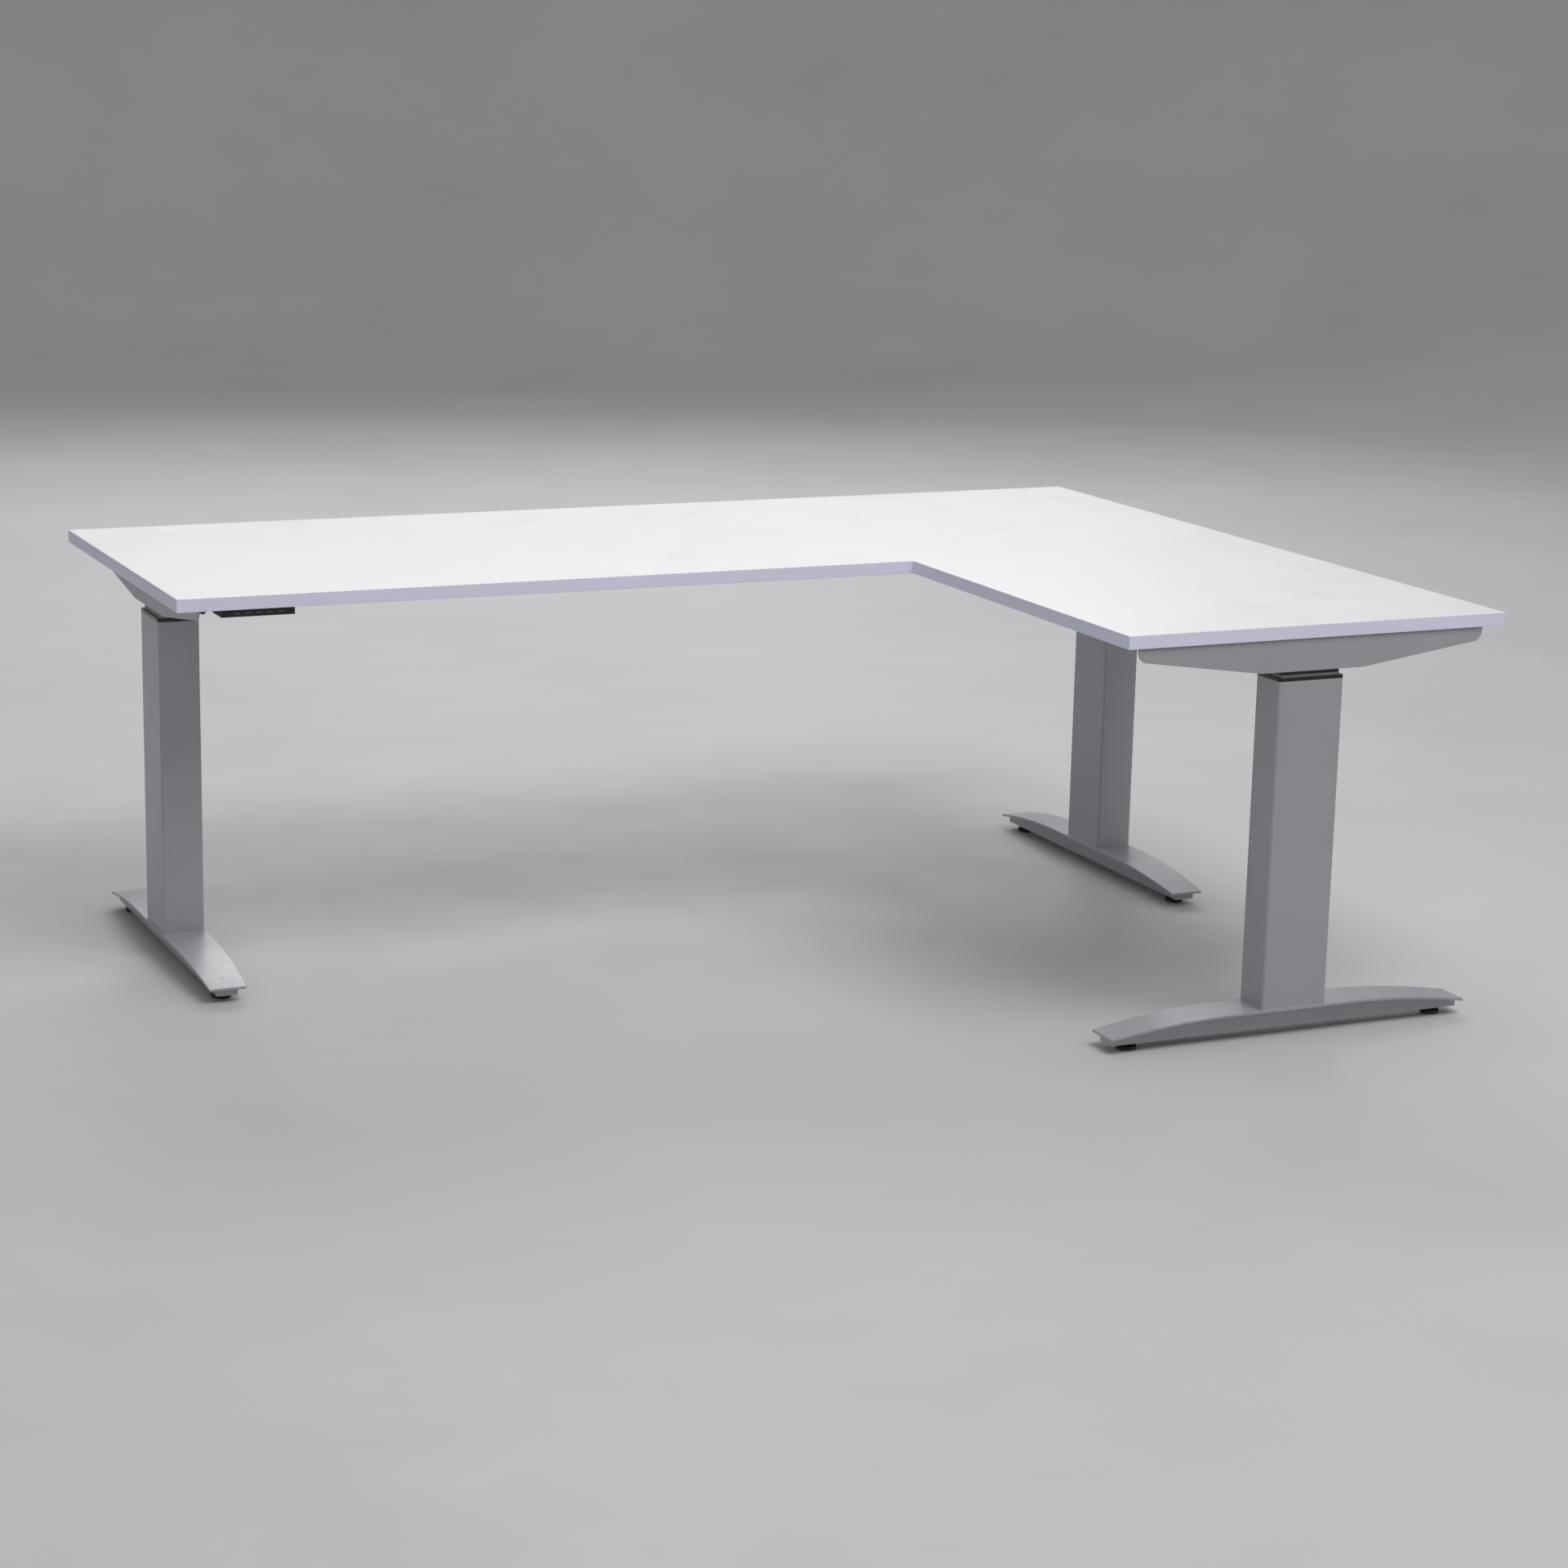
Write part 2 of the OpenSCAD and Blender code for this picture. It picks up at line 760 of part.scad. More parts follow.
// Turns in the middle tube's plate: its bore climbs the base screw, its outside drives the lift nut
module hollow_screw() color(BRIGHT) difference() {
  union() {
    bar(hollow_d, screw_bot, screw_top);
    bar(collar_d, screw_bot, screw_bot + flange_h);
    bar(collar_d, mid_plate_top + play, mid_plate_top + play + flange_h);
    bar(collar_d, screw_top - collar_h, screw_top);
    block([-collar_d / 2 - key_rib_h, -key_rib_w / 2, screw_top - collar_h],
          [collar_d / 2 + key_rib_h, key_rib_w / 2, screw_top]);
  }
  bar(base_screw_d + 2 * bore_gap, screw_bot - OVER, screw_top + OVER);
}
module hollow_screw_left() at_leg(0) hollow_screw();
module hollow_screw_right() at_leg(1) hollow_screw();
module hollow_screw_return() at_leg(2) hollow_screw();

module lift_nuts() color(NYLON) for (i = [0:2]) at_leg(i)
  difference() {
    core_block(inner_bot, inner_bot + nut_h);
    bar(hollow_d + 2 * bore_gap, inner_bot - OVER, inner_bot + nut_h + OVER);
  }

// Driven by the motor; two grooves in its bore carry the hollow screw's collar round
module drive_tube() color(BRIGHT) difference() {
  union() {
    bar(drive_d, drive_bot, drive_top + hub_h);
    bar(shaft_d, drive_top + hub_h, motor_bot + shaft_in);
  }
  bar(collar_d + 2 * bore_gap, drive_bot - OVER, drive_top);
  block([-collar_d / 2 - key_rib_h - bore_gap, -key_rib_w / 2 - bore_gap, drive_bot - OVER],
        [collar_d / 2 + key_rib_h + bore_gap, key_rib_w / 2 + bore_gap, drive_top]);
}
module drive_tube_left() at_leg(0) drive_tube();
module drive_tube_right() at_leg(1) drive_tube();
module drive_tube_return() at_leg(2) drive_tube();

module motor() color(ENAMEL) difference() {
  union() {
    core_block(motor_bot, can_bot);
    bar(motor_d, can_bot, can_top);
    bar(cap_d, can_top, can_top + cap_h);
  }
  bar(shaft_d + 2 * bore_gap, motor_bot - OVER, motor_bot + shaft_in + shaft_end_gap);
}
module motor_left() at_leg(0) motor();
module motor_right() at_leg(1) motor();
module motor_return() at_leg(2) motor();

// ---------- feet ----------

// Everything under the foot's upper face, brought down by some depth: level, with an arc to each tip
module under_bow(depth) {
  rotate([90, 0, 0])
    translate([0, 0, -foot_w])
      linear_extrude(2 * foot_w) {
        for (x = [-1, 1])
          translate([x * foot_level / 2, seat_z - foot_r])
            circle(foot_r - depth, $fn = BIG_FN);
        translate([-foot_level / 2, 0])
          square([foot_level, seat_z - depth]);
      }
}

// The foot's plan as a block: square tips between two bowed long sides
module foot_slab(z0, z1) {
  translate([0, 0, z0])
    linear_extrude(z1 - z0)
      intersection() {
        square([foot_l, foot_w], center = true);
        translate([0, plan_r - foot_w / 2])
          circle(plan_r, $fn = BIG_FN);
        translate([0, foot_w / 2 - plan_r])
          circle(plan_r, $fn = BIG_FN);
      }
}

// The channel's outline as a block, drawn in by some distance, from z0 up past the plate
module channel_block(inset, z0) {
  half_l = foot_l / 2 - channel_in - inset;
  half_w = channel_w / 2 - inset;
  block([-half_l, -half_w, z0], [half_l, half_w, seat_z + OVER]);
}

// A bowed plate on a straight channel, with a pad under the column and a boss for each glide
module foot() color(STEEL) {
  pad_y = channel_w / 2 - channel_wall + OVER;
  difference() {
    union() {
      difference() {
        intersection() {
          union() {
            difference() {
              foot_slab(foot_clear, seat_z + OVER);
              under_bow(foot_plate_t);
            }
            channel_block(0, foot_clear);
          }
          under_bow(0);
        }
        intersection() {
          channel_block(channel_wall, foot_clear - OVER);
          under_bow(foot_plate_t);
        }
      }
      block([-tube_l / 2, -pad_y, seat_z - seat_t], [tube_l / 2, pad_y, seat_z - OVER]);
      for (x = [-1, 1])
        bar(boss_d, glide_top, plate_z(glide_x) - OVER, x * glide_x, 0);
    }
    for (x = [-1, 1])
      bar(stud_d + 2 * bore_gap, glide_top - OVER, stud_top + stud_end_gap, x * glide_x, 0);
    for (x = [-1, 1], y = [-1, 1])
      bar(foot_bolt_d, seat_z - seat_t - OVER, seat_z + OVER, x * foot_bolt_x, y * foot_bolt_y);
  }
}
module foot_left() at_leg(0) foot();
module foot_right() at_leg(1) foot();
module foot_return() at_leg(2) foot();

// Levelling glide: a disc with a bevelled rim, a hexagon for the spanner and a stud
module glide(side) color(BLACK) translate([side * glide_x, 0, 0]) {
  cylinder(h = disc_bevel, d1 = glide_d - 2 * disc_bevel, d2 = glide_d);
  bar(glide_d, disc_bevel, disc_h);
  translate([0, 0, disc_h])
    cylinder(h = glide_top - disc_h, d = hex_d, $fn = 6);
  bar(stud_d, glide_top, stud_top);
}
module glide_left_front() at_leg(0) glide(1);
module glide_left_back() at_leg(0) glide(-1);
module glide_right_front() at_leg(1) glide(-1);
module glide_right_back() at_leg(1) glide(1);
module glide_return_left() at_leg(2) glide(-1);
module glide_return_right() at_leg(2) glide(1);

// ---------- fasteners ----------

module foot_bolts() color(BRIGHT) for (i = [0:2]) at_leg(i)
  for (x = [-1, 1], y = [-1, 1])
    bolt_up(foot_bolt_d, foot_bolt_head_d, foot_bolt_d, seat_z - seat_t, base_top,
            x * foot_bolt_x, y * foot_bolt_y);

module head_bolts() color(BRIGHT) for (i = [0:2]) at_leg(i)
  for (x = [-1, 1], y = [-1, 1])
    bolt_up(bolt_d, BOLT_HEAD_D, BOLT_HEAD_H, head_z, board_z, x * head_bolt_x, y * head_bolt_y);

module beam_bolts() color(BRIGHT) {
  for (i = [0:2])
    at_leg(i)
      for (y = tongue_bolts)
        bolt_up(bolt_d, BOLT_HEAD_D, BOLT_HEAD_H, beam_z, beam_z + frame_bolt_l, 0, y);
  joint_bolts()
    bolt_up(bolt_d, BOLT_HEAD_D, BOLT_HEAD_H, 0, end_plate_t + beam_wall, 0, 0);
}

// Every board screw's axis, with its head's seat at the height of the arms' plates
module screw_places() {
  for (i = [0:2])
    at_leg(i)
      for (x = arm_screws(ARM_L[i]))
        translate([x, arm_screw_y, 0])
          children();
  for (x = [-1, 1], y = [-1, 1])
    translate([box_x + x * ear_x, box_y + y * ear_y, 0])
      children();
  for (x = [-1, 1])
    translate([set_x + x * set_ear_x, set_y + set_ear_y, 0])
      children();
}

module board_screws() color(BRIGHT) screw_places() {
  bar(SCREW_HEAD_D, arm_z - SCREW_HEAD_H, arm_z);
  bar(screw_d, arm_z, board_z + screw_in);
}

// ---------- control box ----------

// Black case, closed above, with an ear at each corner and moulded sockets behind the front wall
module control_box() color(BLACK) translate([box_x, box_y, 0]) difference() {
  union() {
    column_block(box_l, box_w, box_r, box_z + cover_t, board_z);
    for (x = [-1, 1], y = [-1, 1])
      translate([x * (ear_x - OVER), y * ear_y, 0])
        column_block(ear_l + 2 * OVER, ear_w, ear_r, arm_z, board_z);
  }
  difference() {
    column_block(box_l - 2 * box_wall, box_w - 2 * box_wall, box_r - box_wall,
                 box_z + cover_t - OVER, board_z - box_wall);
    for (x = SOCKET_X)
      socket_block(x, socket_wall, 0);
  }
  for (x = [-1, 1], y = [-1, 1])
    bar(screw_d, arm_z - OVER, board_z + OVER, x * ear_x, y * ear_y);
  block([inlet_x - inlet_w / 2, -box_w / 2 - OVER, inlet_z],
        [inlet_x + inlet_w / 2, -box_w / 2 + box_wall + OVER, inlet_z + inlet_h]);
  for (x = SOCKET_X)
    socket_block(x, 0, OVER);
}

// Block of a socket: its opening when wall is 0, its moulded shell when wall is the shell's own
module socket_block(x, wall, out) {
  block([x - socket_w / 2 - wall, -box_w / 2 - out, pcb_z - socket_h - wall],
        [x + socket_w / 2 + wall, -box_w / 2 + socket_l - socket_wall + wall, pcb_z + wall]);
}

module control_box_cover() color(BLACK) translate([box_x, box_y, 0]) {
  lip = box_wall + cover_gap;
  column_block(box_l, box_w, box_r, box_z, box_z + cover_t);
  column_tube(box_l - 2 * lip, box_w - 2 * lip, box_r - lip, cover_lip_t,
              box_z + cover_t - TINY, box_z + cover_t + cover_lip_h);
}

// Component hung under the circuit board: place gives its low x and y, then its length and width
module board_part(place, h) {
  block([place[0], place[1], pcb_z - h],
        [place[0] + place[2], place[1] + place[3], pcb_z + TINY]);
}

// Circuit board hung from the case's roof, with its transformer, capacitors and heat sink
module control_board() color(GREEN) translate([box_x, box_y, 0]) {
  front = -box_w / 2 + socket_l + OVER;
  difference() {
    block([-box_l / 2 + pcb_in, front, pcb_z], [box_l / 2 - pcb_in, box_w / 2 - pcb_in, pcb_z + pcb_t]);
    block([inlet_x - inlet_w / 2 - inlet_room, front - OVER, pcb_z - OVER],
          [inlet_x + inlet_w / 2 + inlet_room, -box_w / 2 + inlet_depth + inlet_room, pcb_z + pcb_t + OVER]);
  }
  for (x = [-1, 1], y = POST_SHARES)
    bar(post_d, pcb_z + pcb_t - TINY, board_z - box_wall,
        x * (box_l / 2 - post_in), y * (box_w / 2 - post_in));
  board_part(transformer, part_h);
  for (i = [0, 1])
    bar(capacitor_d, pcb_z - part_h, pcb_z + TINY, capacitor_x + i * capacitor_pitch, capacitor_y);
  board_part(heat_sink, part_h);
}

// Mains socket: a shell pressed into the front wall, with a flange inside and three pins
module mains_inlet() color(BLACK) translate([box_x + inlet_x, box_y - box_w / 2, inlet_z]) {
  difference() {
    union() {
      block([-inlet_w / 2, 0, 0], [inlet_w / 2, inlet_depth, inlet_h]);
      block([-inlet_w / 2 - inlet_flange_out, box_wall, -inlet_flange_out],
            [inlet_w / 2 + inlet_flange_out, box_wall + inlet_flange_t, inlet_h + inlet_flange_out]);
    }
    block([-inlet_w / 2 + inlet_rim, -OVER, inlet_rim],
          [inlet_w / 2 - inlet_rim, inlet_depth - inlet_back, inlet_h - inlet_rim]);
  }
  pin_end = inlet_depth - inlet_back;
  for (i = [-1, 0, 1]) {
    pin_x = i * pin_pitch - pin_t / 2;
    pin_z = inlet_h / 2 - pin_w / 2 + (i == 0 ? pin_rise + earth_rise : -pin_rise + earth_rise);
    block([pin_x, pin_end - pin_l, pin_z], [pin_x + pin_t, pin_end + OVER, pin_z + pin_w]);
  }
}

// ---------- handset ----------

// Flat case under the front edge: a window for each key in its face, two screw ears behind
module handset_case() color(BLACK) translate([set_x, set_y, 0]) difference() {
  union() {
    translate([0, set_l / 2, 0])
      column_block(set_w, set_l, set_r, set_z, board_z);
    for (x = [-1, 1])
      translate([x * set_ear_x, set_ear_y, 0])
        column_block(set_ear_l, set_ear_w, ear_r, arm_z, board_z);
  }
  handset_room(0, set_floor, board_z - set_wall);
  for (x = [-1, 1])
    bar(screw_d, arm_z - OVER, board_z + OVER, x * set_ear_x, set_ear_y);
  for (i = [0:KEY_COUNT - 1])
    translate([key_x(i), 0, key_z])
      block([-key_w / 2 - key_gap, -OVER, -key_h / 2 - key_gap],
            [key_w / 2 + key_gap, set_wall + OVER, key_h / 2 + key_gap]);
  lead_way(set_l + OVER);
}
function key_x(i) = (i - (KEY_COUNT - 1) / 2) * key_pitch;

// Space inside the handset's case, from z0 to z1, less some distance at its front
module handset_room(front, z0, z1) {
  intersection() {
    translate([0, set_l / 2, 0])
      column_block(set_w - 2 * set_wall, set_l - 2 * set_wall, set_r - set_wall, z0, z1);
    block([-set_w / 2, front, z0 - OVER], [set_w / 2, set_l, z1 + OVER]);
  }
}

// Way for the lead's plug, from inside the socket back to some depth
module lead_way(y1) {
  z0 = set_floor + pcb_set_t + lead_up;
  block([-lead_w / 2, set_l - set_wall - lead_in, z0], [lead_w / 2, y1, z0 + lead_h]);
}

// Upright board behind the keys with a flat switch for each, and a level board with the lead's socket
module handset_board() color(GREEN) translate([set_x, set_y, 0]) {
  half = set_w / 2 - set_wall;
  back = set_l - set_wall;
  level_top = set_floor + pcb_set_t;
  block([-half, set_pcb_y, set_floor], [half, set_pcb_y + pcb_set_t, board_z - set_wall]);
  handset_room(set_pcb_y + pcb_set_t - TINY, set_floor, level_top);
  for (i = [0:KEY_COUNT - 1])
    block([key_x(i) - switch_w / 2, set_pcb_y - switch_t, key_z - switch_h / 2],
          [key_x(i) + switch_w / 2, set_pcb_y + TINY, key_z + switch_h / 2]);
  difference() {
    block([-lead_w / 2 - lead_wall, back - lead_in - lead_back, level_top - TINY],
          [lead_w / 2 + lead_wall, back, level_top + lead_up + lead_h + lead_wall]);
    lead_way(back + OVER);
  }
}

// Key: a cap in its window, a flange that stops against the face's inside, and a stem to the switch
module key(i) color(BLACK) translate([set_x + key_x(i), set_y, key_z]) {
  block([-key_w / 2, -key_proud, -key_h / 2], [key_w / 2, set_wall + TINY, key_h / 2]);
  block([-key_w / 2 - key_flange, set_wall, -key_h / 2 - key_flange],
        [key_w / 2 + key_flange, set_wall + key_flange_t, key_h / 2 + key_flange]);
  translate([0, set_wall + key_flange_t - TINY, 0])
    rotate([-90, 0, 0])
      cylinder(h = key_stem + TINY, r = stem_r);
}
module key_down() key(0);
module key_up() key(1);
module key_1() key(2);
module key_2() key(3);
module key_3() key(4);

// Half-round clip under the front edge, with the cable's way through it
module cable_clip() color(BLACK)
  translate([-top_w / 2 + clip_in_left, main_front + clip_in_front + clip_l, board_z])
    rotate([90, 0, 0])
      linear_extrude(clip_l)
        difference() {
          circle(clip_r);
          circle(clip_bore_r);
          translate([-clip_r - OVER, 0])
            square([2 * (clip_r + OVER), clip_r + OVER]);
        }

// ---------- assembly ----------

desktop_board();
edge_banding();
arm_left();
arm_right();
arm_return();
main_beam();
return_beam();
inner_tube_left();
inner_tube_right();
inner_tube_return();
motor_left();
motor_right();
motor_return();
drive_tube_left();
drive_tube_right();
drive_tube_return();
hollow_screw_left();
hollow_screw_right();
hollow_screw_return();
middle_tube_left();
middle_tube_right();
middle_tube_return();
middle_ring_left();
middle_ring_right();
middle_ring_return();
middle_shoe_left();
middle_shoe_right();
middle_shoe_return();
lift_nuts();
inner_shoes();
outer_tube_left();
outer_tube_right();
outer_tube_return();
outer_rings();
base_screws();
foot_left();
foot_right();
foot_return();
glide_left_front();
glide_left_back();
glide_right_front();
glide_right_back();
glide_return_left();
glide_return_right();
foot_bolts();
head_bolts();
beam_bolts();
board_screws();
control_box();
control_box_cover();
control_board();
mains_inlet();
handset_case();
handset_board();
key_down();
key_up();
key_1();
key_2();
key_3();
cable_clip();
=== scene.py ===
# %% [markdown]
# # A height adjustable corner desk
# The frame holds sixty CAD pieces, already at real size and in the right place. This lesson
# gives each of them its finish, adds the small made-by-hand details that a drawing leaves out
# (weld beads, printed key marks), and lights the desk as in a quiet studio.
# The CAD pieces are never moved or reshaped. New pieces are made in metres, in the same frame.

# %% Load the frame
import math

import bmesh
import bpy
from mathutils import Matrix, Vector


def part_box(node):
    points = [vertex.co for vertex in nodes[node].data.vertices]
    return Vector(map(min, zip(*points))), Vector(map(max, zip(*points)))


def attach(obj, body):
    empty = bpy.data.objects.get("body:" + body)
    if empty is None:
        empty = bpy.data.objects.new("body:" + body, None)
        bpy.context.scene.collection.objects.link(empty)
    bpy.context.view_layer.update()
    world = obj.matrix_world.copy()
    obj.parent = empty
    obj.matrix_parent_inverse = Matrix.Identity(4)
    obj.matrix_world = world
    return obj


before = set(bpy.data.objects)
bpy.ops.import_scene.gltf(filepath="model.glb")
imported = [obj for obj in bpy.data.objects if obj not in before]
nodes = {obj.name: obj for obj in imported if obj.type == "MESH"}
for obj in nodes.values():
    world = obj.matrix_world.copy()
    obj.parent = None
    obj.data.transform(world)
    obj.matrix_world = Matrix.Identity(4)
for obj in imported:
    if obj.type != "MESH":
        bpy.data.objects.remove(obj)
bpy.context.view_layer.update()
MM = 0.001

# %% [markdown]
# ## The camera
# The desk is seen from the front left, from about standing eye height. Three angles
# and a place say it all. The lens is long, so the verticals stay nearly parallel. The matrix is
# built from the view direction, so no constraint is left on the camera.

# %% Camera
CAMERA_PLACE = Vector((-2.3622, -5.2966, 1.6379))
CAMERA_YAW = math.radians(24.600)
CAMERA_PITCH = math.radians(12.927)
CAMERA_ROLL = math.radians(1.237)
SENSOR_MM = 36.0
LENS_MM = 79.31
CAMERA_FAR = 60.0

ahead = Vector((
    math.sin(CAMERA_YAW) * math.cos(CAMERA_PITCH),
    math.cos(CAMERA_YAW) * math.cos(CAMERA_PITCH),
    -math.sin(CAMERA_PITCH),
))
level_right = Vector((math.cos(CAMERA_YAW), -math.sin(CAMERA_YAW), 0.0))
level_up = level_right.cross(ahead)
camera_right = level_right * math.cos(CAMERA_ROLL) + level_up * math.sin(CAMERA_ROLL)
camera_up = level_up * math.cos(CAMERA_ROLL) - level_right * math.sin(CAMERA_ROLL)
camera_data = bpy.data.cameras.new("studio_camera")
camera_data.sensor_width = SENSOR_MM
camera_data.lens = LENS_MM
camera_data.clip_end = CAMERA_FAR
camera = bpy.data.objects.new("studio_camera", camera_data)
bpy.context.collection.objects.link(camera)
camera.matrix_world = Matrix.Translation(CAMERA_PLACE) @ Matrix(
    (camera_right, camera_up, -ahead)
).transposed().to_4x4()
bpy.context.scene.camera = camera
print("camera looks along", [round(c, 3) for c in ahead])

# %% [markdown]
# ## Floor and light
# The floor is a wide pale bowl: level under the desk, and rising in one smooth sweep far behind,
# so that no edge or horizon shows from any side. It is a half profile turned once round the
# upright axis. The spin hands its faces back in a different order each time, so a small helper
# sorts points and faces by their place, and the script gives the same mesh on every run.
# Three big soft lamps light the desk. The main lamp hangs high in front: it falls steeply, so that
# level faces are clearly brighter than upright ones. The back lamp does what a pale wall would do:
# it glances off the top and the feet, and leaves the columns' faces alone. An overhead lamp opens
# the shadows, and the sky is an even grey.

# %% Floor
FLOOR_REACH = 8.0
SWEEP = 4.0
SWEEP_STEPS = 16
TURN_STEPS = 96
PLACES = 7


def in_fixed_order(made):
    """The same shape again, with its points and faces in an order that is the same every run."""
    places = {vert: tuple(round(c, PLACES) for c in vert.co) for vert in made.verts}
    ordered = sorted(made.verts, key=places.get)
    rank = {vert: number for number, vert in enumerate(ordered)}
    rings = []
    for face in made.faces:
        ring = [rank[vert] for vert in face.verts]
        first = ring.index(min(ring))
        rings.append(ring[first:] + ring[:first])
    again = bmesh.new()
    points = [again.verts.new(places[vert]) for vert in ordered]
    for ring in sorted(rings):
        again.faces.new([points[number] for number in ring])
    made.free()
    return again


profile = [Vector((0, 0, 0)), Vector((FLOOR_REACH, 0, 0))]
for step in range(1, SWEEP_STEPS + 1):
    angle = math.radians(90) * step / SWEEP_STEPS
    out = FLOOR_REACH + SWEEP * math.sin(angle)
    up = SWEEP * (1 - math.cos(angle))
    profile.append(Vector((out, 0, up)))
work = bmesh.new()
points = [work.verts.new(point) for point in profile]
bones = [work.edges.new(pair) for pair in zip(points, points[1:])]
bmesh.ops.spin(work, geom=points + bones, cent=(0, 0, 0), axis=(0, 0, 1),
               angle=math.radians(360), steps=TURN_STEPS, use_merge=True)
bmesh.ops.remove_doubles(work, verts=work.verts, dist=MM)
bmesh.ops.recalc_face_normals(work, faces=work.faces)
work = in_fixed_order(work)
work.normal_update()
nearest = min(work.faces, key=lambda face: face.calc_center_median().length)
if nearest.normal.z < 0:
    bmesh.ops.reverse_faces(work, faces=work.faces)
for face in work.faces:
    face.smooth = True
floor_mesh = bpy.data.meshes.new("studio_floor")
work.to_mesh(floor_mesh)
work.free()
floor = bpy.data.objects.new("studio_floor", floor_mesh)
bpy.context.collection.objects.link(floor)
print("floor faces", len(floor_mesh.polygons))

# %% Lamps and sky
SKY_GREY = (0.80, 0.81, 0.84, 1.0)
SKY_STRENGTH = 0.46
sky = bpy.data.worlds.new("studio_sky")
sky.use_nodes = True
sky.node_tree.nodes["Background"].inputs["Color"].default_value = SKY_GREY
sky.node_tree.nodes["Background"].inputs["Strength"].default_value = SKY_STRENGTH
bpy.context.scene.world = sky
bpy.context.scene.view_settings.view_transform = "Standard"


def soft_lamp(name, place, aim, width, height, watts, colour):
    """A rectangular lamp at place that faces aim."""
    data = bpy.data.lights.new(name, "AREA")
    data.shape = "RECTANGLE"
    data.size = width
    data.size_y = height
    data.energy = watts
    data.color = colour
    lamp = bpy.data.objects.new(name, data)
    bpy.context.collection.objects.link(lamp)
    lamp.location = place
    lamp.rotation_euler = (Vector(aim) - Vector(place)).to_track_quat("-Z", "Y").to_euler()


WARM_WHITE = (1.0, 0.99, 0.98)
PURE_WHITE = (1.0, 1.0, 1.0)
DESK_MIDDLE = (0.1, 0.0, 0.2)
BOARD_MIDDLE = (0.1, 0.1, 0.6)
soft_lamp("main_lamp", (0.9, -2.9, 4.9), DESK_MIDDLE, 3.2, 2.2, 124, WARM_WHITE)
soft_lamp("back_lamp", (1.6, 5.6, 4.0), DESK_MIDDLE, 5.0, 3.0, 150, PURE_WHITE)
soft_lamp("overhead_lamp", (0.3, 0.4, 4.2), BOARD_MIDDLE, 3.5, 2.5, 18, WARM_WHITE)

# %% [markdown]
# ## How a finish is built
# Every finish starts from the same few moves: a noise that shades the colour slowly over the
# piece, a fine noise that becomes bump, and a mask that finds the outer edges. The mask compares
# the true surface direction with one rounded over a millimetre: they differ only at an edge.
# All patterns read object coordinates, so they are in metres and stay with the piece.

# %% Helpers for finishes
COAT_ROUGHNESS = 0.28
BEVEL_SAMPLES = 6
EDGE_SHARPNESS = 6.0


